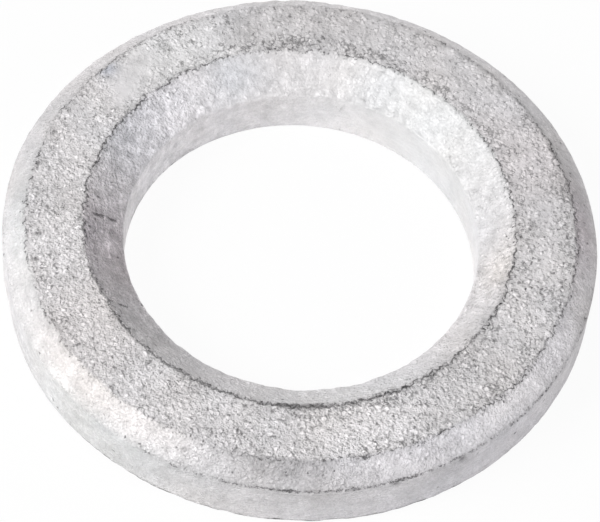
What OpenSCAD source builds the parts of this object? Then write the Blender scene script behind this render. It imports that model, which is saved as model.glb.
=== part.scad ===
// Structural bolt washer: one ring of hardened, hot-dip-galvanised steel. The bore is countersunk on the
// upper side, to clear the fillet under a bolt's head, and the rim is chamfered on the same side. The
// lower side is a flat bearing face.

/* [Ring] */
// Outside diameter
outer_d = 29.5; // [28.5:0.1:32]
// Bore diameter, a clearance hole for a 16 mm bolt
bore_d = 17.6; // [16.8:0.1:18.4]
// Height from the lower face to the upper face
thickness = 4; // [3.6:0.1:5]

/* [Countersink] */
// Width of the countersink, seen from above
countersink_w = 1.85; // [0.8:0.05:2.4]
// Depth of the countersink below the upper face
countersink_h = 1.4; // [0.6:0.05:2]

/* [Rim chamfer] */
// Width of the rim's chamfer, seen from above
rim_chamfer_w = 1.2; // [0.6:0.05:1.6]
// Depth of the rim's chamfer below the upper face
rim_chamfer_h = 1; // [0.5:0.05:1.6]

/* [Edges] */
// Radius that blanking rolls onto the rim's lower edge
rim_roll_r = 0.3; // [0.1:0.05:0.5]
// Radius on the lower edge of the bore
bore_edge_r = 0.15; // [0.05:0.05:0.3]
// Radius that the zinc leaves on the edges of both chamfers
chamfer_edge_r = 0.25; // [0.05:0.05:0.4]

/* [Hidden] */

// Facets in a full turn
$fn = 180;

bore_r = bore_d / 2;
outer_r = outer_d / 2;

// Corners of the ring's section, anticlockwise from the bore's lower edge
corners = [
    [bore_r, 0],
    [outer_r, 0],
    [outer_r, thickness - rim_chamfer_h],
    [outer_r - rim_chamfer_w, thickness],
    [bore_r + countersink_w, thickness],
    [bore_r, thickness - countersink_h],
];
last = len(corners) - 1;

// Radius of the rounded edge at each of those corners
edge_radii = [bore_edge_r, rim_roll_r, chamfer_edge_r, chamfer_edge_r, chamfer_edge_r, chamfer_edge_r];

// Direction from one point to another, as a vector of length 1
function direction(from, to) = (to - from) / norm(to - from);

// Directions from a corner along its two sides
function sides(i) = [
    direction(corners[i], corners[i == 0 ? last : i - 1]),
    direction(corners[i], corners[i == last ? 0 : i + 1]),
];

// Half the angle between those sides
function half_angle(i) = acos(sides(i)[0] * sides(i)[1]) / 2;

// Distance from a corner to the two points where its rounded edge runs into the sides
function edge_reach(i) = edge_radii[i] / tan(half_angle(i));

// Centre of the rounded edge, on the line that halves the corner
function edge_centre(i) =
    corners[i] + direction([0, 0], sides(i)[0] + sides(i)[1]) * edge_radii[i] / sin(half_angle(i));

// Section of the ring: straight sides that stop short of every corner, and a circle to round each edge
module section() {
    polygon([
        for (i = [0 : last])
            for (side = sides(i))
                corners[i] + side * edge_reach(i)
    ]);
    for (i = [0 : last])
        translate(edge_centre(i))
            circle(edge_radii[i]);
}

module washer() {
    color("silver")
        rotate_extrude()
            section();
}

washer();
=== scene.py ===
"""Looks of the structural bolt washer: one galvanised ring with grainy zinc, on a white studio floor."""
import math

import bpy
import numpy as np
from mathutils import Matrix, Vector, geometry, noise


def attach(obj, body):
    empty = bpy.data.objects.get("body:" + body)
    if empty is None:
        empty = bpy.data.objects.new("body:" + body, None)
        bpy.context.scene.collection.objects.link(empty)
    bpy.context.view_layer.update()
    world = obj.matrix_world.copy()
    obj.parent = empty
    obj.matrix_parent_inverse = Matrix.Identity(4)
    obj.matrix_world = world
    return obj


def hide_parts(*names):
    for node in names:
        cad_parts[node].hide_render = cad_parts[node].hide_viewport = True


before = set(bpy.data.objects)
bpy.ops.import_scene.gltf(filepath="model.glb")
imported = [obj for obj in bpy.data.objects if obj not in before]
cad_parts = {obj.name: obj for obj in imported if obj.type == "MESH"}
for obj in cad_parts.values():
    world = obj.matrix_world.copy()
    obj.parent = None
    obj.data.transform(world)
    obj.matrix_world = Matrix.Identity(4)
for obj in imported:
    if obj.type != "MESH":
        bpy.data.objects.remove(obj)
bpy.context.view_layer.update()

MM = 0.001

# Camera, as the photograph was taken. The aim is a point of the floor plane.
CAMERA_ELEVATION = math.radians(55.8)
CAMERA_ROLL = math.radians(5.5)
CAMERA_DISTANCE = 153.6 * MM
CAMERA_AIM = (0.10 * MM, 0.36 * MM, 0.0)
CAMERA_LENS = 183.2
CAMERA_CLIP = 0.01
SENSOR_WIDTH = 36.0

# Lights: name, azimuth and elevation in degrees, distance and size in metres, and how brightly the light
# shows a white surface that faces it.
SOFTBOXES = (
    ("key_softbox", -152.0, 40.0, 0.4, 0.26, 1.0),
    ("back_softbox", 118.0, 35.0, 0.4, 0.36, 0.34),
    ("right_softbox", -34.0, 25.0, 0.4, 0.36, 0.41),
)
WORLD_LEVEL = 0.01
# Share of the floor's own white that the camera sees in place of its shading.
FLOOR_WHITE = 0.95
FLOOR_COLOUR = (0.9, 0.9, 0.9, 1)
FLOOR_ROUGHNESS = 0.9
# Half the floor's width in metres, and how far it lies below the washer.
FLOOR_REACH = 3.0
FLOOR_GAP = 0.01 * MM

# From here on lengths are in millimetres, angles in degrees, and a table by angle holds (angle, value) knots.
# A place on a side is an angle round the ring and a share of the way along the side.

# Mesh of the ring: columns round the axis, and for each side of the section the rows on the side and on the
# rounded edge after it.
COLUMNS = 768
ROWS = {"lower": (5, 5), "wall": (11, 6), "rim": (14, 7), "top": (30, 8), "sink": (24, 6), "bore": (8, 4)}
SIDES = tuple(ROWS)

# The hole is a little off the middle of the rim: how far at its top and through the bore.
SINK_SHIFT = np.array([-0.056, 0.110])
BORE_SHIFT = np.array([0.071, -0.030])
NO_SHIFT = np.zeros(2)

# Noises of the mesh: the length of their waves, and the seed.
MESH_NOISES = {
    "broad wander": (1.3, 1),
    "fine wander": (0.45, 2),
    "crack jitter": (0.4, 3),
    "broad tone": (3.0, 4),
    "fine tone": (1.2, 5),
    "tint": (2.2, 6),
    "waves": (2.6, 7),
    "lumps": (0.45, 8),
    "grain": (2.0, 9),
    "seam drift": (0.6, 10),
    "seam swing": (1.2, 11),
    "clumps": (1.6, 12),
}
# How far apart two seeds lie in the space of the noise, in waves.
SEED_STEP = (7.3, 3.1, 5.7)

# Relief of the zinc coat, inwards from the bare form: broad waves and small lumps. On the sides that lie
# inside the form's box the coat first stands out by its lift.
COAT_LIFT = {"lower": 0.0, "wall": 0.0, "rim": 0.02, "top": 0.0, "sink": 0.035, "bore": 0.025}
WAVE_DEPTH = {"lower": 0.01, "wall": 0.02, "rim": 0.015, "top": 0.02, "sink": 0.03, "bore": 0.015}
# Depth of the hollows between the lumps, by angle, and how much painted shade darkens a hollow for each
# millimetre of it.
LUMP_DEPTH = {
    "lower": ((0, 0.01),),
    "wall": ((0, 0.025),),
    "rim": ((-165, 0.02), (-115, 0.02), (-60, 0.03), (0, 0.04), (60, 0.03), (150, 0.025)),
    "top": ((-60, 0.02), (0, 0.02), (60, 0.04), (150, 0.035)),
    "sink": ((-170, 0.06), (-130, 0.02), (-30, 0.02), (-8, 0.07), (6, 0.04), (30, 0.02), (90, 0.03),
             (150, 0.05)),
    "bore": ((-60, 0.006), (60, 0.006), (110, 0.03), (150, 0.045)),
}
HOLLOW_SHADE = 4.0
# How strongly the coat's fine grit shows on each side, by angle.
GRIT = {
    "lower": ((0, 0.8),),
    "wall": ((-60, 1.6), (0, 0.8)),
    "rim": ((-165, 1.0), (-115, 1.8), (-60, 1.5), (0, 0.9), (60, 0.5), (110, 0.8), (150, 1.1)),
    "top": ((-165, 1.3), (-110, 1.6), (-60, 1.4), (-30, 0.6), (0, 0.3), (60, 0.3), (110, 0.5), (150, 0.9)),
    "sink": ((-165, 2.2), (-110, 1.1), (-60, 0.9), (0, 0.75), (25, 0.6), (60, 0.25), (110, 0.5),
             (150, 1.15)),
    "bore": ((60, 0.2), (110, 1.0), (150, 1.2)),
}
# How strongly rounded cobbles show on each side, by angle.
COBBLES = {
    "lower": ((0, 0.7),),
    "wall": ((0, 0.5),),
    "rim": ((-165, 0.6), (-115, 1.0), (-60, 0.9), (0, 0.9), (60, 0.6), (110, 0.7), (150, 0.8)),
    "top": ((-165, 1.0), (-110, 1.2), (-60, 1.3), (-30, 1.0), (0, 0.8), (30, 0.75), (60, 0.6), (110, 0.65),
            (150, 0.9)),
    "sink": ((-165, 1.4), (-110, 0.7), (-60, 0.7), (-20, 0.8), (-6, 1.6), (8, 0.9), (25, 0.5), (60, 0.35),
             (110, 0.4), (150, 0.9)),
    "bore": ((60, 0.15), (110, 0.3), (150, 0.3)),
}
# How strongly cloudy mottling shows on each side, by angle.
MOTTLE = {
    "lower": ((0, 1.2),),
    "wall": ((0, 1.5),),
    "rim": ((-165, 1.0), (-115, 1.6), (-60, 1.3), (-20, 0.8), (5, 1.5), (30, 0.8), (60, 0.6), (110, 0.8),
            (150, 1.1)),
    "top": ((-165, 1.2), (-110, 1.3), (-60, 1.0), (-30, 0.9), (0, 1.0), (60, 1.5), (110, 1.8), (150, 1.6)),
    "sink": ((-165, 2.6), (-110, 1.1), (-60, 0.9), (-10, 1.2), (25, 1.1), (60, 0.4), (110, 0.9), (150, 2.0)),
    "bore": ((60, 0.4), (110, 1.7), (150, 2.4)),
}
# How strongly streaks along the ring show on each side, by angle.
STREAKS = {
    "lower": ((0, 0.2),),
    "wall": ((0, 0.5),),
    "rim": ((0, 0.3),),
    "top": ((0, 0.0),),
    "sink": ((-165, 0.8), (-110, 0.3), (-40, 0.4), (0, 0.6), (60, 0.7), (110, 1.0), (150, 1.2)),
    "bore": ((60, 0.4), (110, 0.5), (150, 0.4)),
}
# How strongly painted glints show on each side, by angle: light specks that lighten the colour where grains
# catch the lamps.
GLINTS = {
    "lower": ((0, 0.1),),
    "wall": ((0, 0.2),),
    "rim": ((-165, 0.4), (-110, 0.7), (-60, 0.3), (0, 0.3), (90, 0.3)),
    "top": ((-165, 0.9), (-100, 0.6), (-60, 0.2), (0, 0.2), (60, 0.3), (120, 0.4), (150, 0.7)),
    "sink": ((-165, 0.7), (-110, 0.2), (-40, 0.2), (-14, 0.4), (-7, 1.0), (4, 0.6), (60, 0.3), (110, 0.4),
             (150, 0.5)),
    "bore": ((0, 0.1),),
}
# How densely pits, darkened with painted shade, lie on each side, by angle.
PITS = {
    "lower": ((0, 0.15),),
    "wall": ((0, 0.05),),
    "rim": ((-165, 0.1), (-110, 0.2), (-50, 0.1), (-15, 0.2), (5, 0.5), (30, 0.3), (60, 0.2), (150, 0.2)),
    "top": ((-160, 0.6), (-110, 0.65), (-70, 1.0), (-40, 1.2), (0, 1.3), (25, 0.9), (50, 0.4), (80, 0.5),
            (110, 0.5), (150, 0.35)),
    "sink": ((-165, 0.3), (-110, 0.1), (-40, 0.0), (-18, 0.0), (-11, 0.4), (-4, 0.4), (4, 0.1), (60, 0.0),
             (100, 0.05), (150, 0.15)),
    "bore": ((0, 0.0),),
}
# How strongly the painted shade of a pit shows, and that of a crevice between the cobbles, by angle.
PIT_LEVEL = ((-180, 0.9), (-120, 0.9), (-60, 1.0), (-20, 1.15), (15, 1.1), (45, 0.8), (70, 0.7), (110, 0.6),
             (150, 0.7))
CREVICE_LEVEL = ((-90, 1.0), (-45, 0.9), (-15, 0.7), (25, 0.75), (60, 0.9), (90, 1.0))
# Bands of dark crumbs, where more pits and crevices lie, along the edge after a side: how far past the middle
# of the edge they lie, half their width, and how much denser the pits are, by angle.
CRUMBS = (
    ("rim", 0.35, 0.45, ((-180, 0.6), (-150, 0.4), (-120, 0.1), (-90, 0.2), (-50, 0.4), (0, 1.0), (30, 0.6),
                         (60, 0.3), (100, 0.3), (150, 0.4))),
    ("top", -0.35, 0.45, ((-180, 0.3), (-120, 0.2), (-85, 0.9), (-50, 0.9), (-20, 0.6), (10, 0.5), (35, 0.9),
                          (55, 1.2), (80, 1.3), (105, 1.2), (125, 0.8), (160, 0.3))),
    ("top", 0.30, 0.30, ((-180, 0.4), (-150, 0.4), (-120, 0.0), (-70, 0.2), (-45, 0.6), (0, 0.5), (20, 0.1),
                         (60, 0.0), (120, 0.0))),
)
# Bands where more painted glints lie, in the same form.
GLINT_BANDS = (
    ("sink", -0.30, 0.30, ((-170, 0.0), (60, 0.0), (90, 0.4), (145, 0.4), (170, 0.1))),
)
# Soft darker bands in the same form, with the share of the tone that they take.
DARK_BANDS = (
    ("wall", -0.10, 0.18, ((-150, 0.0), (-125, 0.06), (-100, 0.10), (-85, 0.05), (-70, 0.0), (150, 0.0))),
    ("rim", 0.0, 0.20, ((-60, 0.0), (-20, 0.05), (10, 0.10), (35, 0.18), (65, 0.18), (90, 0.12), (120, 0.05),
                        (140, 0.0))),
)
# Spots where the coat is smooth: side, angle, share, radius, and how much of their grain they lose.
SMOOTH_SPOTS = (
    ("top", 140.5, 0.52, 1.1, 0.8),
    ("top", 145.0, 0.68, 0.6, 0.6),
    ("top", 134.0, 0.28, 0.7, 0.6),
    ("top", 118.0, 0.45, 0.8, 0.4),
)
# How much the grain's strength and the pits' density rise and fall over the coat.
GRAIN_SWING = 0.4
CLUMP_SWING = 0.8

# The edges wander: how far, across the edge after each side, by angle.
EDGE_WANDER = {
    "wall": ((-60, 0.06), (-20, 0.04), (0, 0.02), (45, 0.03), (65, 0.06), (90, 0.09), (120, 0.09),
             (150, 0.06)),
    "rim": ((0, 0.09),),
    "top": ((0, 0.08),),
    "sink": ((0, 0.10),),
}
# A wandering edge pulls its sides along by this share, less the distance from the edge in reaches, kept from
# 0 to 1.
WANDER_SHARE = 1.25
WANDER_REACH = 0.9
# The lower edge is only ever drawn up: how far at most, and by which share of that where its wander is 0.
LOWER_DRAW = 0.10
LOWER_DRAW_SHARE = 0.4
# The wall is not quite round: how far it stands out, by angle.
OUT_OF_ROUND = ((-180, 0.0), (-170, -0.03), (-164, -0.13), (-157, -0.09), (-145, -0.02), (-135, 0.0),
                (125, 0.0), (145, 0.05), (165, 0.08), (172, 0.05), (177, 0.02))
# A stretch where the bore's lower edge stands higher: the angle of its middle, half its length, and its rise.
BORE_RISE = (150.0, 24.0, 0.13)

# Seams, dark jagged grooves along the edge after a side, darkened both where the coat is drawn thin and with
# painted shade in the groove: how far they lie past the middle of the edge, by angle, how uneven they are,
# and their strength, by angle. A weak seam breaks up into dots.
SEAMS = {
    "lower": (((0, 0.15),), 0.6, ((-140, 0.3), (-115, 0.9), (-30, 1.3), (0, 0.4), (90, 0.2))),
    "wall": (((0, -0.15),), 0.6,
             ((-170, 0.2), (-135, 0.15), (-110, 0.3), (-97, 0.4), (-88, 0.6), (-75, 0.6), (-60, 0.5),
              (-45, 0.45), (-10, 0.3), (15, 0.1))),
    "rim": (((0, -0.03),), 1.0,
            ((-180, 0.5), (-150, 0.4), (-120, 0.2), (-90, 0.4), (-65, 0.5), (-40, 0.6), (-25, 0.65),
             (25, 0.65), (45, 0.45), (75, 0.25), (100, 0.25), (125, 0.45), (150, 0.5))),
    "top": (((-130, 0.03), (-100, -0.06), (-60, -0.08), (-30, -0.02), (0, 0.03)), 0.8,
            ((-180, 0.8), (-165, 0.6), (-140, 0.7), (-115, 0.9), (-95, 1.4), (-80, 1.1), (-65, 0.8),
             (-40, 0.9), (-20, 1.0), (15, 0.9), (30, 0.5), (50, 0.4), (85, 0.4), (105, 0.5), (130, 0.7),
             (165, 1.1))),
    "bore": (((0, -0.12),), 0.8, ((-170, 0.0), (110, 0.0), (130, 0.3), (170, 0.3))),
}
# How far each seam crumbles along the lumps of the coat instead of running straight, by angle.
CRUMBLE = {
    "lower": ((0, 0.0),),
    "wall": ((0, 0.0),),
    "rim": ((0, 1.0),),
    "top": ((-170, 0.8), (-120, 0.7), (-80, 0.7), (-50, 0.9), (100, 1.0), (160, 1.0)),
    "bore": ((0, 0.0),),
}
SEAM_DEPTH = 0.03
SEAM_WIDTH = 0.075
SEAM_REACH = 0.4
SEAM_DRIFT = 0.04

# Cracks in the coat: side, the angle and share of both ends, and strength. A ridge of the coat is a crack of
# strength below 0.
CRACKS = (
    ("sink", (-176.5, 0.64), (-170.0, 0.63), -0.7),
    ("sink", (-170.0, 0.63), (-162.6, 0.60), -0.7),
    ("sink", (-176.6, 0.18), (-177.8, 0.52), 1.0),
    ("sink", (-178.0, 0.58), (-178.8, 0.86), 0.9),
    ("sink", (-147.2, 0.00), (-146.6, 0.13), 0.9),
    ("sink", (-146.2, 0.26), (-144.8, 0.51), 1.0),
    ("sink", (24.2, 0.86), (14.0, 0.42), 0.15),
    ("sink", (-20.4, 0.97), (-23.2, 0.05), 0.25),
    ("bore", (80.0, 0.02), (81.5, 0.45), 0.2),
)
CRACK_DEPTH = 0.05
CRACK_WIDTH = 0.06
CRACK_REACH = 0.3
CRACK_JITTER = 0.06
# Length over which a crack fades in at its ends.
CRACK_TAPER = 0.12

# Nicks and pits that stand out: side, angle, share, radius and depth. At the full depth they are darkest.
NICKS = (
    ("top", 8.6, 0.97, 0.14, 0.08),
    ("wall", -54.0, 0.95, 0.18, 0.10),
    ("wall", -67.6, 0.98, 0.18, 0.11),
    ("rim", -108.6, 0.15, 0.12, 0.06),
    ("rim", -99.2, 0.92, 0.12, 0.06),
    ("rim", 7.6, 0.24, 0.10, 0.05),
    ("top", -88.6, 0.77, 0.14, 0.06),
)
NICK_DEPTH = 0.06

# Colour of the coat, each side's tone, and how far tone and tint drift over it.
ZINC_COLOUR = (0.597, 0.58, 0.588)
# The bore's tone of 1.29 is painted light: it stands in for the light that the white floor throws up into the
# hole.
TONE = {"lower": 1.0, "wall": 1.13, "rim": 1.08, "top": 1.042, "sink": 1.10, "bore": 1.29}
BROAD_TONE = 0.07
FINE_TONE = 0.05
TINT_DRIFT = (0.007, 0.0, -0.007)
# Lighter and darker patches of the coat: side, angle, share, radius, change of tone.
PATCHES = (
    ("wall", -140.0, 0.5, 6.0, 0.06),
    ("wall", -25.0, 0.5, 5.0, -0.12),
    ("wall", -85.0, 0.5, 4.0, -0.06),
    ("wall", -56.0, 0.70, 0.9, -0.12),
    ("wall", -53.0, 0.90, 0.5, -0.12),
    ("wall", -52.0, 0.5, 2.5, -0.03),
    ("sink", -163.0, 0.5, 4.5, -0.24),
    ("sink", -134.0, 0.5, 2.5, -0.12),
    ("sink", -112.0, 0.5, 2.0, 0.05),
    ("sink", 145.0, 0.5, 3.0, 0.06),
    ("sink", -172.0, 0.12, 1.2, -0.10),
    ("sink", -150.0, 0.12, 1.4, -0.12),
    ("sink", -70.0, 0.5, 3.0, 0.08),
    ("sink", -8.0, 0.4, 1.6, 0.05),
    ("sink", 172.0, 0.5, 2.5, 0.05),
    ("sink", -45.0, 0.05, 0.9, -0.14),
    ("sink", -28.0, 0.05, 1.1, -0.20),
    ("sink", -14.0, 0.05, 0.8, -0.14),
    ("sink", 118.0, 0.35, 1.0, -0.11),
    ("sink", 133.0, 0.5, 2.5, 0.14),
    ("sink", 152.0, 0.40, 1.2, -0.06),
    ("bore", 22.0, 0.5, 3.5, -0.14),
    ("bore", 100.0, 0.5, 3.0, -0.05),
    ("bore", 160.0, 0.5, 4.0, 0.05),
    ("sink", 50.0, 0.5, 4.0, -0.10),
    ("sink", 22.0, 0.5, 3.5, -0.04),
    ("sink", -45.0, 0.5, 4.0, -0.02),
    ("sink", 100.0, 0.25, 1.2, 0.03),
    ("rim", -90.0, 0.5, 3.0, -0.27),
    ("rim", -86.0, 0.5, 1.5, -0.12),
    ("rim", -50.0, 0.5, 6.0, 0.10),
    ("rim", -28.0, 0.5, 3.5, 0.12),
    ("rim", 48.0, 0.5, 3.5, 0.08),
    ("rim", 9.0, 0.5, 3.5, -0.18),
    ("rim", 68.0, 0.5, 6.0, 0.22),
    ("rim", 118.0, 0.5, 6.0, 0.03),
    ("rim", 160.0, 0.5, 7.0, -0.17),
    # Painted highlight: this light patch lies on the rim where the key softbox's highlight falls.
    ("rim", -120.0, 0.5, 4.0, 0.14),
    ("top", -67.0, 0.5, 3.0, 0.19),
    ("top", -112.0, 0.5, 3.0, 0.04),
    ("top", 38.0, 0.5, 3.0, -0.03),
    ("top", 64.0, 0.4, 2.5, -0.03),
    ("top", -22.0, 0.5, 3.0, 0.05),
    ("top", -157.0, 0.5, 3.0, 0.04),
    ("top", -142.0, 0.5, 2.5, -0.05),
    ("top", 157.0, 0.5, 3.0, -0.05),
    ("top", 142.0, 0.5, 2.5, 0.01),
    ("top", -45.0, 0.5, 3.5, -0.07),
    ("top", 15.0, 0.5, 3.5, -0.03),
    ("top", 15.0, 0.10, 1.2, -0.12),
    ("top", 140.0, 0.30, 1.3, 0.03),
    ("top", 142.0, 0.02, 0.5, -0.22),
    ("top", 126.0, 0.47, 2.0, 0.04),
    ("top", 108.5, 0.45, 1.1, -0.26),
    ("top", 88.0, 0.40, 3.0, -0.10),
    ("top", 88.0, 0.28, 1.2, -0.06),
)
# Tints of the coat: side, angle, share, radius, change of red, green and blue.
TINTS = (
    ("wall", -50.0, 0.5, 8.0, (0.0, -0.004, 0.014)),
    ("sink", 156.0, 0.3, 2.2, (-0.012, -0.002, 0.012)),
    ("rim", -60.0, 0.5, 6.0, (-0.006, -0.003, 0.014)),
    ("rim", -130.0, 0.6, 4.0, (0.02, 0.008, -0.01)),
    ("top", -145.0, 0.5, 3.0, (0.010, 0.0, -0.006)),
    ("sink", 140.0, 0.45, 3.0, (-0.008, -0.003, 0.015)),
    ("sink", 116.0, 0.40, 1.4, (-0.022, -0.002, 0.014)),
    ("sink", -170.0, 0.50, 4.0, (0.010, -0.010, 0.008)),
    ("rim", 5.0, 0.50, 3.0, (0.016, -0.010, 0.006)),
    ("rim", -22.0, 0.50, 3.0, (0.0, 0.0, 0.012)),
    ("top", 127.0, 0.50, 3.0, (-0.012, 0.0, -0.002)),
    ("top", 142.0, 0.02, 0.5, (-0.03, -0.01, 0.03)),
    ("top", 25.0, 0.50, 3.0, (0.008, -0.002, 0.0)),
    ("sink", -75.0, 0.50, 4.0, (-0.008, 0.0, -0.003)),
    ("sink", -8.5, 0.32, 1.2, (0.018, 0.006, -0.014)),
    ("wall", -130.0, 0.5, 6.0, (-0.020, 0.0, -0.010)),
    ("wall", -60.0, 0.5, 6.0, (-0.008, 0.0, 0.0)),
    ("rim", -170.0, 0.5, 4.0, (-0.014, 0.0, -0.004)),
    ("sink", 50.0, 0.5, 6.0, (-0.018, 0.0, -0.005)),
    ("bore", 45.0, 0.5, 7.0, (-0.020, 0.0, -0.006)),
    ("bore", 145.0, 0.5, 5.0, (-0.006, 0.0, 0.012)),
)

# Noises of the shader: waves in a millimetre, levels of detail, roughness.
SHADER_NOISES = {
    "bend": (6.0, 1.0, 0.5),
    "clusters": (3.2, 2.0, 0.7),
    "speckle": (9.5, 2.0, 0.5),
    "mottle": (1.2, 4.0, 0.85),
    "jag": (6.0, 2.0, 0.9),
    "streaks": (1.0, 3.0, 0.6),
    "dots": (5.0, 2.0, 0.8),
}
# How far the dark core of a border between two lumps reaches, in lumps.
BORDER_CORE = 0.05
# Smooth steps of the shader: the two values between which they rise or fall, and their levels there.
STEPS = {
    "dome": (0.05, 0.8, 1.0, 0.0),
    "dome height": (0.0, 1.0, 0.4, 1.6),
    "lump border": (BORDER_CORE, 0.4, 1.0, 0.0),
    "crevice clusters": (0.56, 0.80, 0.0, 1.0),
    "crevice density": (0.0, 0.5, 0.0, 1.0),
    "spot size": (0.0, 1.0, 0.6, 1.5),
    "spot level": (0.0, 1.0, 0.4, 1.0),
    "straight width": (0.8, 1.5, 0.10, 0.20),
    "straight share": (0.5, 1.0, 1.0, 0.0),
    "crumbled width": (0.8, 1.5, 0.5, 0.9),
    "crumbled share": (0.0, 0.5, 0.0, 1.0),
    "seam dots": (0.62, 0.9, 0.0, 1.0),
    "crack dots": (0.3, 0.55, 0.4, 1.0),
    "roughness": (-0.25, 0.25, 0.72, 0.56),
}
# Lumps of the coat: how many lie in a millimetre, how far their outlines bend, and their height.
LUMPS_PER_MM = 4.4
LUMP_BEND = 0.2
COBBLE_HEIGHT = 0.05
# How far the density of pits and crumbs helps crevices to open.
CREVICE_BY_PITS = 0.06
CREVICE_BY_CRUMBS = 0.05
# Spots: cells of their pattern in a millimetre, radius, and the share of the cells that has one. For the pits
# that share is for a density of 1. A spot is full in its core and ends at its rim, in shares of the radius.
PIT_SPOTS = (4.0, 0.062, 0.5)
# The glints' spots are painted highlight.
GLINT_SPOTS = (4.1, 0.07, 0.6)
SPOT_CORE = 0.4
SPOT_RIM = 1.2
# Streaks: the radius at which the ring is unrolled for them, and their waves in a millimetre across the ring.
STREAK_RADIUS = 15.0
STREAKS_PER_MM = 4.5
# Lines: half the width of their dark core, how far their course is jagged, and half their whole width.
LINE_CORE = 0.02
SEAM_JAG = 0.45
# The band of painted shade beside a seam has its own jag and half width.
SEAM_SHADE_JAG = 0.3
SEAM_SHADE_WIDTH = 0.30
CRACK_JAG = 0.35
CRACK_LINE = 0.12
# How far a seam's strength closes the gaps between its dots.
SEAM_CLOSING = 0.5
METALLIC = 0.35
# What each mask of the shader does: how deep it presses into the relief, and the share of the colour that it
# takes away. Below 0 it stands out, or lightens.
MASKS = {
    # Crevices and pits darken the colour with painted shade, and press a little into the bump.
    "crevices": (0.03, 0.6),
    "lumps": (0.0, -0.3),
    "speckle": (-0.06, -0.3),
    "streaks": (-0.03, -0.5),
    "mottle": (0.0, -0.45),
    "pits": (0.03, 0.8),
    # Painted glints lighten the colour.
    "painted_glints": (0.0, -0.4),
    # The seams darken the colour for the thin coat and with painted shade in their groove.
    "seams": (0.03, 0.75),
    # A soft band of painted shade beside each seam.
    "seam_shade": (0.0, 0.2),
    "cracks": (CRACK_DEPTH, 0.75),
    "nicks": (0.0, 0.35),
}


def section_sides():
    """The section's straight sides, anticlockwise from the lower face, read from the CAD ring.

    Each side is (start, end) in the plane of radius and height.
    """
    points = np.array([v.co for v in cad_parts["washer"].data.vertices]) / MM
    section = np.column_stack([np.hypot(points[:, 0], points[:, 1]), points[:, 2]]).round(3)
    section = np.unique(section, axis=0)
    hull = section[geometry.convex_hull_2d([tuple(p) for p in section])]
    middle = hull.mean(axis=0)
    turn = np.arctan2(hull[:, 1] - middle[1], hull[:, 0] - middle[0])
    hull = hull[np.argsort(turn)]
    ends = np.roll(hull, -1, axis=0)
    length = np.linalg.norm(ends - hull, axis=1)
    longest = sorted(np.argsort(length)[-len(SIDES):])
    sides = [(hull[i], ends[i]) for i in longest]
    lowest = min(range(len(sides)), key=lambda i: sides[i][0][1] + sides[i][1][1])
    return sides[lowest:] + sides[:lowest]


def crossing(a, b):
    """Point where the lines through two sides meet."""
    (p, q), (s, t) = a, b
    d, e = q - p, t - s
    share = ((s - p)[0] * e[1] - (s - p)[1] * e[0]) / (d[0] * e[1] - d[1] * e[0])
    return p + share * d


def outward(direction):
    """Unit normal on the right of a direction in the section's plane."""
    return np.array([direction[1], -direction[0]]) / np.linalg.norm(direction)


def crowded(t):
    """Even steps from 0 to 1, drawn together towards both ends."""
    eased = (1 - math.cos(math.pi * t)) / 2
    return (t + eased) / 2


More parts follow.
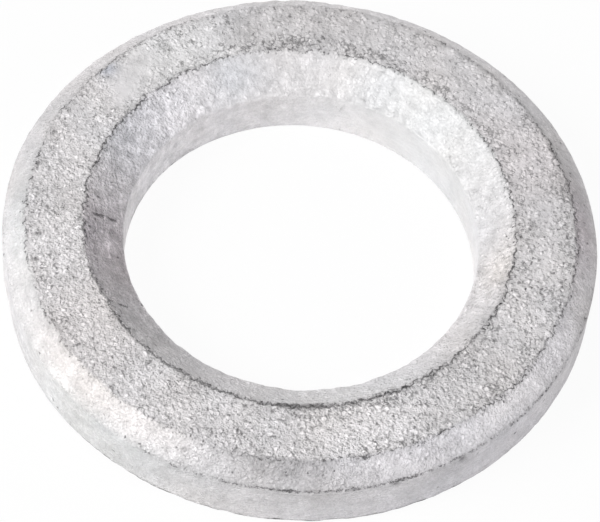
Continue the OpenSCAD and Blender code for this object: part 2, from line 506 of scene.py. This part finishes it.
class Ring:
    """The ring's grid: rows along the section, columns round the axis."""

    def __init__(self):
        self.sides, self.on_edge, self.shares = [], [], []
        points, normals = [], []
        straights = section_sides()
        for i, name in enumerate(SIDES):
            start, end = straights[i]
            following = straights[(i + 1) % len(SIDES)]
            corner = crossing(straights[i], following)
            side_rows, edge_rows = ROWS[name]
            n0, n1 = outward(end - start), outward(following[1] - following[0])
            weight = math.sqrt((1 + n0 @ n1) / 2)
            for k in range(side_rows):
                t = crowded(k / side_rows)
                points.append(start + t * (end - start))
                normals.append(n0)
                self.add_row(name, False, t)
            for k in range(edge_rows):
                t = k / edge_rows
                a, b, c = (1 - t) ** 2, 2 * weight * t * (1 - t), t ** 2
                points.append((a * end + b * corner + c * following[0]) / (a + b + c))
                blended = (1 - t) * n0 + t * n1
                normals.append(blended / np.linalg.norm(blended))
                self.add_row(name, True, t)
        self.points, self.normals = np.array(points), np.array(normals)
        self.rows = len(points)
        self.shape = (self.rows, COLUMNS)
        step = np.linalg.norm(np.diff(self.points, axis=0), axis=1)
        self.run = np.concatenate([[0], np.cumsum(step)])[:, None]
        self.radius = self.points[:, :1]
        self.angle = np.arange(COLUMNS) * 2 * math.pi / COLUMNS - math.pi
        self.degrees = np.degrees(self.angle)
        still = np.zeros(self.shape)
        self.place = self.in_space(still, still, still)

    def add_row(self, side, on_edge, share):
        """Note where a row lies: on a side or the rounded edge after it, and the share of the way along."""
        self.sides.append(side)
        self.on_edge.append(on_edge)
        self.shares.append(share)

    def row_values(self, table):
        """A value for each row: a side's own on the side, blended to the next side's round the edge."""
        values = []
        for side, on_edge, share in zip(self.sides, self.on_edge, self.shares):
            following = SIDES[(SIDES.index(side) + 1) % len(SIDES)]
            blend = share if on_edge else 0.0
            values.append((1 - blend) * np.asarray(table[side]) + blend * np.asarray(table[following]))
        return np.array(values)

    def row_slides(self, starts):
        """A value for each row that slides along each side, from its start to the next side's start."""
        values = []
        for side, on_edge, share in zip(self.sides, self.on_edge, self.shares):
            following = SIDES[(SIDES.index(side) + 1) % len(SIDES)]
            blend = 1.0 if on_edge else share
            values.append((1 - blend) * starts[side] + blend * starts[following])
        return np.array(values)

    def run_at(self, side, share):
        """Distance along the section to a place on a side."""
        rows = [i for i in range(self.rows) if self.sides[i] == side and not self.on_edge[i]]
        return np.interp(share, [self.shares[i] for i in rows], [self.run[i, 0] for i in rows])

    def past_edge(self, side):
        """Signed distance along the section from the middle of the rounded edge after a side."""
        rows = [i for i in range(self.rows) if self.sides[i] == side and self.on_edge[i]]
        return self.run - self.run[rows].mean()

    def in_space(self, depth, outwards, upwards):
        """Points of the grid in space, each moved inwards by its depth, and then outwards and upwards."""
        shift = self.row_slides({"lower": BORE_SHIFT, "wall": NO_SHIFT, "rim": NO_SHIFT, "top": NO_SHIFT,
                                 "sink": SINK_SHIFT, "bore": BORE_SHIFT})
        r = self.points[:, :1] - depth * self.normals[:, :1] + outwards
        z = self.points[:, 1:] - depth * self.normals[:, 1:] + upwards
        x = r * np.cos(self.angle) + shift[:, :1]
        y = r * np.sin(self.angle) + shift[:, 1:]
        return np.stack([x, y, z], axis=-1)

    def across(self, side, degrees, share):
        """Distances on the surface from a place, round the ring and along the section."""
        turn = (self.degrees - degrees + 180) % 360 - 180
        return np.radians(turn) * self.radius, self.run - self.run_at(side, share)

    def patch(self, side, degrees, share, radius):
        """A soft round patch of a side: 1 in its middle, nothing on the other sides."""
        around, along = self.across(side, degrees, share)
        own = self.row_values({name: float(name == side) for name in SIDES})[:, None]
        return own * np.exp(-(around ** 2 + along ** 2) / radius ** 2)

    def noise(self, name):
        """One of the mesh's noises at each point, smooth and from about -1 to 1."""
        wavelength, seed = MESH_NOISES[name]
        offset = Vector(SEED_STEP) * seed
        points = (self.place / wavelength).reshape(-1, 3).tolist()
        values = [noise.noise(Vector(p) + offset) for p in points]
        return np.array(values).reshape(self.shape)

    def by_angle(self, knots):
        """Values for each column between given knots of (angle, value), joined round the ring."""
        angles, values = zip(*knots)
        return np.interp(self.degrees, angles, values, period=360)

    def by_side(self, table):
        """Values at each point from a table of given knots for each side."""
        return self.row_values({side: self.by_angle(knots) for side, knots in table.items()})

    def bands(self, table):
        """Sum of the soft bands of a table, along the edges, at each point."""
        total = np.zeros(self.shape)
        for side, offset, half_width, knots in table:
            off = self.past_edge(side) - offset
            total += groove(off, half_width) * self.by_angle(knots)
        return total


def groove(distance, width):
    """Profile of a groove or band, 1 along its middle."""
    return np.exp(-(distance / width) ** 2)


def fade_out(distance, reach):
    """1 up to half a reach away, and from there down to 0."""
    return np.clip(2 - 2 * np.abs(distance) / reach, 0, 1)


def edge_pull(ring, side):
    """How far the edge after a side pulls each point along as it wanders."""
    return np.clip(WANDER_SHARE - np.abs(ring.past_edge(side)) / WANDER_REACH, 0, 1)


def edge_wander(ring):
    """How far the wandering edges pull each point outwards and upwards.

    An edge of the upper face wanders outwards, which leaves the face flat, and one of a wall wanders upwards,
    which leaves the wall straight.
    """
    of_wall = ring.row_slides({side: float(side in ("wall", "rim")) for side in SIDES})[:, None]
    outwards = of_wall * ring.by_angle(OUT_OF_ROUND)
    upwards = np.zeros(ring.shape)
    drift = ring.noise("broad wander") + ring.noise("fine wander")
    for side, wander in EDGE_WANDER.items():
        pull = ring.by_angle(wander) * drift * edge_pull(ring, side)
        if side in ("rim", "top"):
            outwards += pull
        else:
            upwards += pull
    upwards += LOWER_DRAW * edge_pull(ring, "lower") * np.clip(LOWER_DRAW_SHARE + drift, 0, 1)
    middle, half_length, rise = BORE_RISE
    upwards += rise * edge_pull(ring, "bore") * groove(ring.degrees - middle, half_length)
    return outwards, upwards


def seam_fields(ring):
    """Signed distance to the nearest seam, the seam's strength and how far it crumbles, at each point."""
    distance = np.ones(ring.shape)
    strength = np.zeros(ring.shape)
    crumble = np.zeros(ring.shape)
    drift = SEAM_DRIFT * ring.noise("seam drift")
    swing = ring.noise("seam swing")
    for side, (offsets, uneven, knots) in SEAMS.items():
        off = ring.past_edge(side) - ring.by_angle(offsets) - drift
        fade = fade_out(off, SEAM_REACH)
        near = fade > 0
        distance = np.where(near, off, distance)
        level = (1 + uneven * swing) * ring.by_angle(knots)
        strength = np.where(near, fade * level, strength)
        crumble = np.where(near, ring.by_angle(CRUMBLE[side]), crumble)
    return distance, strength, crumble


def crack_fields(ring):
    """Signed distance to the nearest crack and the crack's strength, at each point."""
    distance = np.ones(ring.shape)
    strength = np.zeros(ring.shape)
    jitter = CRACK_JITTER * ring.noise("crack jitter")
    for side, start, end, level in CRACKS:
        around, along = ring.across(side, *start)
        reach_around = math.radians(end[0] - start[0]) * ring.radius.min()
        reach_along = ring.run_at(side, end[1]) - ring.run_at(side, start[1])
        length = math.hypot(reach_around, reach_along)
        u, v = reach_around / length, reach_along / length
        place = around * u + along * v
        off = around * v - along * u + jitter
        ends = np.clip(np.minimum(place, length - place) / CRACK_TAPER + 0.5, 0, 1)
        fade = ends * fade_out(off, CRACK_REACH)
        near = fade > 0
        distance = np.where(near, off, distance)
        strength = np.where(near, level * fade, strength)
    return distance, strength


def nick_field(ring):
    """Depth of the nicks at each point."""
    depth = np.zeros(ring.shape)
    for side, degrees, share, radius, deep in NICKS:
        around, along = ring.across(side, degrees, share)
        depth += deep * np.exp(-(around ** 2 + along ** 2) / radius ** 2)
    return depth


def coat_colour(ring):
    """Colour of the coat at each point: the zinc's, mottled, with patches, tints and darker bands, painted
    shade in the lumps' hollows, and painted light from the floor in the bore.
    """
    drift = BROAD_TONE * ring.noise("broad tone") + FINE_TONE * ring.noise("fine tone")
    tone = ring.row_values(TONE)[:, None] * (1 + drift)
    for *spot, change in PATCHES:
        tone = tone + change * ring.patch(*spot)
    # Painted shade: the colour darkens where the lumps' hollows are deeper.
    tone = tone * (1 - HOLLOW_SHADE * ring.by_side(LUMP_DEPTH) * ring.noise("lumps"))
    tone = tone * (1 - ring.bands(DARK_BANDS))
    colour = tone[..., None] * np.array(ZINC_COLOUR)
    for *spot, change in TINTS:
        colour = colour + ring.patch(*spot)[..., None] * np.array(change)
    colour = colour + ring.noise("tint")[..., None] * np.array(TINT_DRIFT)
    return np.clip(colour, 0, 1)


def grain_fields(ring):
    """How strongly each kind of grain shows at each point."""
    grainy = np.ones(ring.shape)
    for *spot, loss in SMOOTH_SPOTS:
        grainy = grainy - loss * ring.patch(*spot)
    uneven = grainy * (1 + GRAIN_SWING * ring.noise("grain"))
    clumps = grainy * (1 + CLUMP_SWING * ring.noise("clumps"))
    crumbs = ring.bands(CRUMBS)
    return {
        "cobbles": uneven * ring.by_side(COBBLES),
        "grit": uneven * ring.by_side(GRIT),
        "mottle": grainy * ring.by_side(MOTTLE),
        "streaks": ring.by_side(STREAKS),
        "painted_glints": grainy * ring.by_side(GLINTS) + ring.bands(GLINT_BANDS),
        "pits": clumps * (ring.by_side(PITS) + crumbs),
        "crumbs": clumps * crumbs,
        "pit_level": ring.by_angle(PIT_LEVEL),
        "crevice_level": ring.by_angle(CREVICE_LEVEL),
        "run": ring.run,
    }


def ring_faces(ring):
    """The grid's quads, as rows of four points."""
    row, column = np.meshgrid(np.arange(ring.rows), np.arange(COLUMNS), indexing="ij")
    next_row, next_column = (row + 1) % ring.rows, (column + 1) % COLUMNS
    corners = [row * COLUMNS + column, row * COLUMNS + next_column,
               next_row * COLUMNS + next_column, next_row * COLUMNS + column]
    return np.stack(corners, axis=-1).reshape(-1, 4)


def ring_mesh():
    """The coated ring as a closed grid of quads, with what its shader reads at each point."""
    ring = Ring()
    seam, seam_strength, crumble = seam_fields(ring)
    crack, crack_strength = crack_fields(ring)
    nicks = nick_field(ring)
    waves = ring.row_values(WAVE_DEPTH)[:, None] * (0.5 + 0.5 * ring.noise("waves"))
    lumps = ring.by_side(LUMP_DEPTH) * (0.5 + 0.5 * ring.noise("lumps"))
    depth = np.maximum(waves, 0) + np.maximum(lumps, 0) + nicks
    depth = depth - ring.row_values(COAT_LIFT)[:, None]
    depth += SEAM_DEPTH * seam_strength * groove(seam, SEAM_WIDTH)
    depth += CRACK_DEPTH * crack_strength * groove(crack, CRACK_WIDTH)
    place = ring.in_space(depth, *edge_wander(ring))
    faces = ring_faces(ring)
    mesh = bpy.data.meshes.new("galvanised_ring")
    mesh.from_pydata((place * MM).reshape(-1, 3).tolist(), [], faces.tolist())
    mesh.polygons.foreach_set("use_smooth", np.ones(len(faces), bool))

    fields = grain_fields(ring)
    fields.update(seam=seam, seam_strength=seam_strength, crumble=crumble, crack=crack,
                  crack_strength=crack_strength, nicks=nicks / NICK_DEPTH)
    for name, values in fields.items():
        attribute = mesh.attributes.new(name, "FLOAT", "POINT")
        attribute.data.foreach_set("value", np.broadcast_to(values, ring.shape).ravel())
    colour = np.dstack([coat_colour(ring), np.ones(ring.shape)])
    attribute = mesh.attributes.new("coat_colour", "FLOAT_COLOR", "POINT")
    attribute.data.foreach_set("color", colour.ravel())
    mesh.update()
    return mesh


def place_camera():
    """Camera at the photograph's viewing angle."""
    back = Vector((0, -math.cos(CAMERA_ELEVATION), math.sin(CAMERA_ELEVATION)))
    right = Vector((1, 0, 0))
    up = back.cross(right)
    c, s = math.cos(CAMERA_ROLL), math.sin(CAMERA_ROLL)
    rolled_right = c * right + s * up
    rolled_up = c * up - s * right
    data = bpy.data.cameras.new("camera")
    data.lens = CAMERA_LENS
    data.sensor_width = SENSOR_WIDTH
    data.clip_start = CAMERA_CLIP
    camera = bpy.data.objects.new("camera", data)
    turn = Matrix((rolled_right, rolled_up, back)).transposed().to_4x4()
    camera.matrix_world = Matrix.Translation(Vector(CAMERA_AIM) + CAMERA_DISTANCE * back) @ turn
    bpy.context.scene.collection.objects.link(camera)
    bpy.context.scene.camera = camera


def add_node(tree, kind, inputs=None, **settings):
    """A node with its settings made and its inputs set, or linked where a socket is given."""
    node = tree.nodes.new(kind)
    for name, value in settings.items():
        setattr(node, name, value)
    for name, value in (inputs or {}).items():
        if isinstance(value, bpy.types.NodeSocket):
            tree.links.new(value, node.inputs[name])
        else:
            node.inputs[name].default_value = value
    return node


def calculate(tree, operation, first, second=0.0):
    """Result of an operation on two numbers or sockets."""
    return add_node(tree, "ShaderNodeMath", {0: first, 1: second}, operation=operation).outputs[0]


def ramp(tree, value, low, high, to_low, to_high):
    """A smooth step of a value, from one level to another."""
    limits = {"Value": value, "From Min": low, "From Max": high, "To Min": to_low, "To Max": to_high}
    return add_node(tree, "ShaderNodeMapRange", limits, interpolation_type="SMOOTHSTEP").outputs["Result"]


def seen_directly(tree):
    """1 for the rays that show a surface to the camera, straight or through a reflection."""
    path = add_node(tree, "ShaderNodeLightPath").outputs
    direct = calculate(tree, "MAXIMUM", path["Is Camera Ray"], path["Is Glossy Ray"])
    return calculate(tree, "MAXIMUM", direct, path["Is Transmission Ray"])


def place_lights():
    """Softboxes, and a world that shows white but gives only a faint even light."""
    for name, azimuth, elevation, distance, size, level in SOFTBOXES:
        a, e = math.radians(azimuth), math.radians(elevation)
        towards = Vector((math.cos(a) * math.cos(e), math.sin(a) * math.cos(e), math.sin(e)))
        data = bpy.data.lights.new(name, "AREA")
        data.shape = "DISK"
        data.size = size
        data.energy = level * math.pi ** 2 * distance ** 2
        light = bpy.data.objects.new(name, data)
        light.location = towards * distance
        light.rotation_mode = "QUATERNION"
        light.rotation_quaternion = towards.to_track_quat("Z", "Y")
        bpy.context.scene.collection.objects.link(light)
    world = bpy.data.worlds.new("studio")
    world.use_nodes = True
    tree = world.node_tree
    background = tree.nodes["Background"]
    background.inputs["Color"].default_value = (1, 1, 1, 1)
    strength = ramp(tree, seen_directly(tree), 0.0, 1.0, WORLD_LEVEL, 1.0)
    tree.links.new(strength, background.inputs["Strength"])
    bpy.context.scene.world = world


def place_floor():
    """Plain white floor under the washer, which shows mostly as white but keeps the washer's shadow."""
    mesh = bpy.data.meshes.new("floor")
    corners = [(-FLOOR_REACH, -FLOOR_REACH, 0), (FLOOR_REACH, -FLOOR_REACH, 0),
               (FLOOR_REACH, FLOOR_REACH, 0), (-FLOOR_REACH, FLOOR_REACH, 0)]
    mesh.from_pydata(corners, [], [(0, 1, 2, 3)])
    floor = bpy.data.objects.new("floor", mesh)
    floor.location.z = -FLOOR_GAP
    material = bpy.data.materials.new("white_floor")
    material.use_nodes = True
    tree = material.node_tree
    shaded = tree.nodes["Principled BSDF"]
    shaded.inputs["Base Color"].default_value = FLOOR_COLOUR
    shaded.inputs["Roughness"].default_value = FLOOR_ROUGHNESS
    white = add_node(tree, "ShaderNodeEmission", {"Color": (1, 1, 1, 1), "Strength": 1.0})
    share = calculate(tree, "MULTIPLY", seen_directly(tree), FLOOR_WHITE)
    surface = add_node(tree, "ShaderNodeMixShader", {0: share, 1: shaded.outputs[0], 2: white.outputs[0]})
    tree.links.new(surface.outputs[0], tree.nodes["Material Output"].inputs["Surface"])
    mesh.materials.append(material)
    bpy.context.scene.collection.objects.link(floor)


class Coat:
    """Masks of the zinc coat's shader, made from procedural noise and from what the mesh holds."""

    def __init__(self, tree):
        self.tree = tree
        self.place = self.vector("SCALE", add_node(tree, "ShaderNodeTexCoord").outputs["Object"], 1 / MM)
        bend = self.vector("SCALE", self.noise("bend", output="Color"), LUMP_BEND)
        self.bent = self.vector("ADD", self.place, bend)
        self.nearest = self.cells(LUMPS_PER_MM)
        self.second = self.cells(LUMPS_PER_MM, "F2")
        self.off_border = self.number("SUBTRACT", self.second["Distance"], self.nearest["Distance"])
        self.speckle = self.centred("speckle")
        self.jag = self.centred("jag")
        self.dots = self.noise("dots")
        self.size = self.parts(self.nearest)["Blue"]
        dome = self.step("dome", self.nearest["Distance"])
        self.dome = self.product(dome, self.step("dome height", self.size))

    def held(self, name, output="Fac"):
        """What the mesh holds under a name."""
        return add_node(self.tree, "ShaderNodeAttribute", attribute_name=name).outputs[output]

    def number(self, operation, first, second=0.0):
        """Result of an operation on numbers."""
        return calculate(self.tree, operation, first, second)

    def product(self, first, *others):
        """Product of numbers."""
        for other in others:
            first = self.number("MULTIPLY", first, other)
        return first

    def vector(self, operation, first, second=None, output="Vector"):
        """Result of an operation on vectors. SCALE takes a number as its second."""
        inputs = {0: first}
        if second is not None:
            inputs["Scale" if operation == "SCALE" else 1] = second
        return add_node(self.tree, "ShaderNodeVectorMath", inputs, operation=operation).outputs[output]

    def step(self, name, value):
        """One of the shader's smooth steps of a value."""
        return ramp(self.tree, value, *STEPS[name])

    def noise(self, name, place=None, output="Fac"):
        """One of the shader's noises, at the point itself or at another place."""
        scale, detail, roughness = SHADER_NOISES[name]
        inputs = {"Vector": place or self.place, "Scale": scale, "Detail": detail, "Roughness": roughness}
        return add_node(self.tree, "ShaderNodeTexNoise", inputs).outputs[output]

    def centred(self, name, place=None):
        """One of the shader's noises, about 0."""
        return self.number("SUBTRACT", self.noise(name, place), 0.5)

    def cells(self, scale, feature="F1"):
        """A pattern of bent cells, so many in a millimetre: what lies nearest, or second nearest."""
        inputs = {"Vector": self.bent, "Scale": scale}
        return add_node(self.tree, "ShaderNodeTexVoronoi", inputs, feature=feature).outputs

    def parts(self, cells):
        """Three random numbers of a cell."""
        return add_node(self.tree, "ShaderNodeSeparateColor", {"Color": cells["Color"]}).outputs

    def spots(self, scale, radius, share):
        """Small spots of about a radius, in so large a share of the cells of a pattern."""
        cells = self.cells(scale)
        pick = self.parts(cells)
        chosen = self.number("LESS_THAN", pick["Red"], share)
        distance = self.number("DIVIDE", cells["Distance"], self.step("spot size", pick["Green"]))
        radius_in_cells = radius * scale
        near = ramp(self.tree, distance, SPOT_CORE * radius_in_cells, SPOT_RIM * radius_in_cells, 1.0, 0.0)
        return self.product(near, self.product(chosen, self.step("spot level", pick["Blue"])))

    def lumps(self):
        """Each lump's own tone, about 0."""
        centred_size = self.number("SUBTRACT", self.size, 0.5)
        return self.product(centred_size, self.dome, self.held("cobbles"))

    def crevices(self):
        """Clusters of gaps between the lumps, darkened with painted shade."""
        density = self.held("pits")
        clusters = self.number("ADD", self.noise("clusters"), self.product(density, CREVICE_BY_PITS))
        clusters = self.number("ADD", clusters, self.product(self.held("crumbs"), CREVICE_BY_CRUMBS))
        border = self.step("lump border", self.off_border)
        return self.product(border, self.step("crevice clusters", clusters),
                            self.step("crevice density", density), self.held("crevice_level"))

    def pits(self):
        """Small pits, darkened with painted shade."""
        scale, radius, share = PIT_SPOTS
        spots = self.spots(scale, radius, self.product(self.held("pits"), share))
        return self.product(spots, self.held("pit_level"))

    def streaks(self):
        """Streaks along the ring, about 0, in a noise that is drawn out round it."""
        outwards = self.vector("NORMALIZE", self.vector("MULTIPLY", self.place, (1, 1, 0)))
        across = self.product(self.held("run"), STREAKS_PER_MM)
        upwards = add_node(self.tree, "ShaderNodeCombineXYZ", {"Z": across}).outputs["Vector"]
        unrolled = self.vector("ADD", self.vector("SCALE", outwards, STREAK_RADIUS), upwards)
        return self.product(self.centred("streaks", unrolled), self.held("streaks"))

    def line(self, name, half_width, jagged):
        """Line where a signed distance is near 0, with a jagged course."""
        off = self.number("ADD", self.held(name), self.product(self.jag, jagged))
        return ramp(self.tree, self.number("ABSOLUTE", off), LINE_CORE, half_width, 1.0, 0.0)

    def from_axis(self, place):
        """Distance of a place from the ring's axis."""
        return self.vector("LENGTH", self.vector("MULTIPLY", place, (1, 1, 0)), output="Value")

    def past_seam(self, cells):
        """1 where the middle of a lump lies past the seam."""
        inwards = self.number("SUBTRACT", self.from_axis(self.bent), self.from_axis(cells["Position"]))
        return self.number("GREATER_THAN", self.number("ADD", self.held("seam"), inwards), 0.0)

    def seams(self):
        """Seams, in part as straight lines and in part along the borders of the lumps they part."""
        strength, crumble = self.held("seam_strength"), self.held("crumble")
        straight = self.line("seam", self.step("straight width", strength), SEAM_JAG)
        straight = self.product(straight, self.step("straight share", crumble))
        parted = self.number("SUBTRACT", self.past_seam(self.nearest), self.past_seam(self.second))
        width = self.step("crumbled width", strength)
        border = ramp(self.tree, self.off_border, BORDER_CORE, width, 1.0, 0.0)
        crumbled = self.product(self.number("ABSOLUTE", parted), border, self.step("crumbled share", crumble))
        line = self.number("MAXIMUM", straight, crumbled)
        dots = self.number("ADD", self.dots, self.product(strength, SEAM_CLOSING))
        return self.product(line, self.step("seam dots", dots))

    def cracks(self):
        """Cracks, or ridges below 0, that fade here and there."""
        line = self.line("crack", CRACK_LINE, CRACK_JAG)
        return self.product(line, self.held("crack_strength"), self.step("crack dots", self.dots))

    def masks(self):
        """All masks by name."""
        return {
            "crevices": self.crevices(),
            "lumps": self.lumps(),
            "speckle": self.product(self.speckle, self.held("grit")),
            "streaks": self.streaks(),
            "mottle": self.product(self.centred("mottle"), self.held("mottle")),
            "pits": self.pits(),
            # Painted glints: light specks painted into the colour.
            "painted_glints": self.product(self.spots(*GLINT_SPOTS), self.held("painted_glints")),
            "seams": self.seams(),
            # A band of painted shade beside each seam.
            "seam_shade": self.product(self.line("seam", SEAM_SHADE_WIDTH, SEAM_SHADE_JAG), self.held("seam_strength")),
            "cracks": self.cracks(),
            "nicks": self.held("nicks"),
        }


def zinc_material():
    """Hot-dip zinc: cobbled grain with painted shade in its crevices and pits and painted glints on its
    grains, and darkened seams, cracks and nicks, the seams for a thin coat and with painted shade.
    """
    material = bpy.data.materials.new("galvanised_zinc")
    material.use_nodes = True
    tree = material.node_tree
    shader = tree.nodes["Principled BSDF"]
    coat = Coat(tree)
    height = coat.product(coat.dome, coat.held("cobbles"), COBBLE_HEIGHT)
    colour = coat.held("coat_colour", "Color")
    for name, mask in coat.masks().items():
        depth, dirt = MASKS[name]
        if depth:
            height = coat.number("SUBTRACT", height, coat.product(mask, depth))
        clean = coat.number("SUBTRACT", 1.0, coat.product(mask, dirt))
        colour = coat.vector("SCALE", colour, clean)
    bump = add_node(tree, "ShaderNodeBump", {"Strength": 1.0, "Distance": MM, "Height": height})
    tree.links.new(bump.outputs["Normal"], shader.inputs["Normal"])
    tree.links.new(colour, shader.inputs["Base Color"])
    tree.links.new(coat.step("roughness", coat.speckle), shader.inputs["Roughness"])
    shader.inputs["Metallic"].default_value = METALLIC
    return material


place_camera()
place_lights()
place_floor()

washer = bpy.data.objects.new("galvanised_washer", ring_mesh())
bpy.context.scene.collection.objects.link(washer)
washer.data.materials.append(zinc_material())
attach(washer, "root")
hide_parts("washer")

scene = bpy.context.scene
scene.view_settings.view_transform = "Standard"
